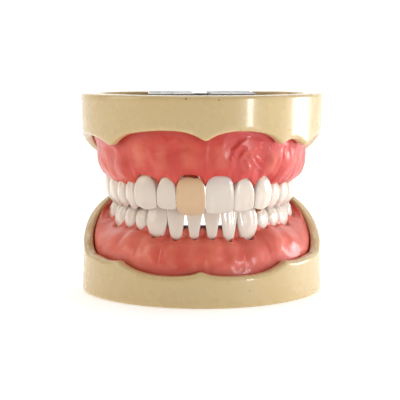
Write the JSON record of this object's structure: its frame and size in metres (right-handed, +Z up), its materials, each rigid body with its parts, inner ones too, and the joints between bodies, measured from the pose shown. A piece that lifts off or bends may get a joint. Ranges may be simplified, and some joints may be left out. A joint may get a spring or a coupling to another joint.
{
  "type": "typodont model",
  "caption": "Hinged dental teaching model: ivory upper and lower bases, coral pink gums and separate screw-fixed teeth, closed on a small rear hinge frame.",
  "frame": {"origin": "centre of the bounding box on the resting plane", "axes": "+X towards the model's own left side (the viewer's right seen from the front), +Y towards the hinge at the back, +Z up"},
  "size_m": [0.078, 0.073, 0.064],
  "materials": {
    "base_plastic": "gloss, fine orange peel",
    "gum_resin": "wet gloss, mottled",
    "tooth_resin": "polished",
    "worn_tooth": "satin, tan",
    "frame_steel": "brushed",
    "screw_steel": "satin"
  },
  "bodies": {
    "lower_jaw": {"lower_base": "base_plastic", "lower_gum": "gum_resin", "lower_right_central_incisor": "tooth_resin", "lower_right_lateral_incisor": "tooth_resin", "lower_right_canine": "tooth_resin", "lower_right_first_premolar": "tooth_resin", "lower_right_second_premolar": "tooth_resin", "lower_right_first_molar": "tooth_resin", "lower_right_second_molar": "tooth_resin", "lower_left_central_incisor": "tooth_resin", "lower_left_lateral_incisor": "tooth_resin", "lower_left_canine": "tooth_resin", "lower_left_first_premolar": "tooth_resin", "lower_left_second_premolar": "tooth_resin", "lower_left_first_molar": "tooth_resin", "lower_left_second_molar": "tooth_resin", "lower_tooth_screws": "screw_steel", "lower_hinge_frame": "frame_steel", "lower_frame_screws": "screw_steel", "hinge_pins": "screw_steel", "hinge_washers": "screw_steel", "hinge_nuts": "screw_steel"},
    "upper_jaw": {"upper_base": "base_plastic", "upper_gum": "gum_resin", "upper_right_central_incisor": "worn_tooth", "upper_right_lateral_incisor": "tooth_resin", "upper_right_canine": "tooth_resin", "upper_right_first_premolar": "tooth_resin", "upper_right_second_premolar": "tooth_resin", "upper_right_first_molar": "tooth_resin", "upper_right_second_molar": "tooth_resin", "upper_left_central_incisor": "tooth_resin", "upper_left_lateral_incisor": "tooth_resin", "upper_left_canine": "tooth_resin", "upper_left_first_premolar": "tooth_resin", "upper_left_second_premolar": "tooth_resin", "upper_left_first_molar": "tooth_resin", "upper_left_second_molar": "tooth_resin", "upper_tooth_screws": "screw_steel", "upper_hinge_frame": "frame_steel", "upper_frame_screws": "screw_steel"}
  },
  "joints": [
    {"name": "jaw_hinge", "type": "hinge", "parent": "lower_jaw", "child": "upper_jaw", "pos_m": [0, 0.0315, 0.035], "axis": [-1, 0, 0], "range_deg": [0, 80]}
  ]
}
